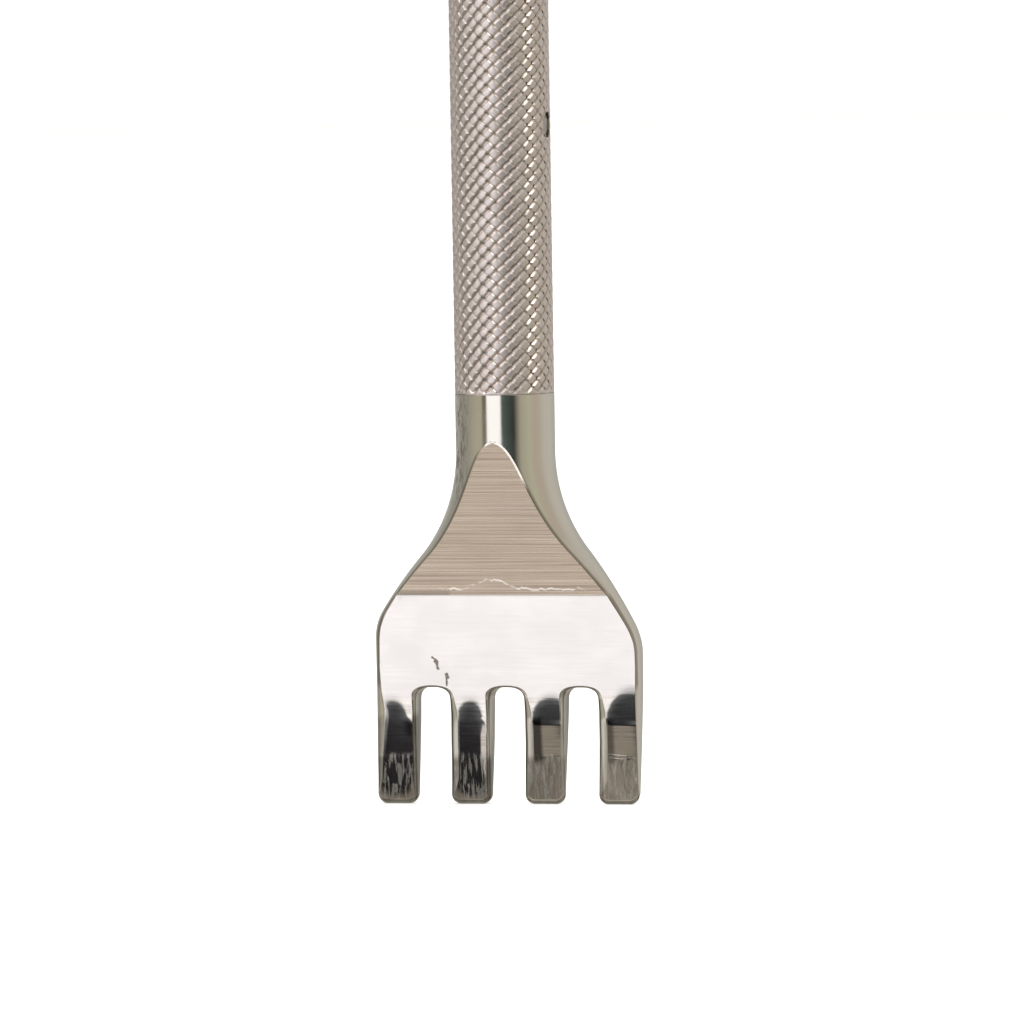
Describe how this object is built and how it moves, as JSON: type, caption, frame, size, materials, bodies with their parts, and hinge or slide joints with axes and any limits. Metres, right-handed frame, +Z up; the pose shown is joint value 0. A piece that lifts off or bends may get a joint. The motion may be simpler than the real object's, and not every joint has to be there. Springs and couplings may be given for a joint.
{
  "type": "pricking iron",
  "caption": "Hand-struck leather punch: a flat spade-shaped blade with blunt chisel tines on a round knurled steel handle, for marking and piercing rows of evenly spaced slits.",
  "frame": {"origin": "on the line of the tine tips, under the centre of the shank: the centre of the bottom of the part's box", "axes": "+Z runs up the shank from the tine tips to the striking end, X runs across the row of tines, and +Y runs through the thickness of the blade, from its front face to its back"},
  "size_m": [0.022, 0.008, 0.11],
  "materials": {
    "bright_nickel": "polished nickel plate over a forged and milled blade, with milling lines on the ramps and grinding marks on the tine bevels",
    "satin_nickel": "nickel plate over a rolled diamond knurl, plain and bright above the grip",
    "hardened_steel": "ground, unplated"
  },
  "bodies": {
    "root": {"tined_head": "bright_nickel", "knurled_handle": "satin_nickel", "retaining_pin": "hardened_steel"}
  },
  "joints": []
}
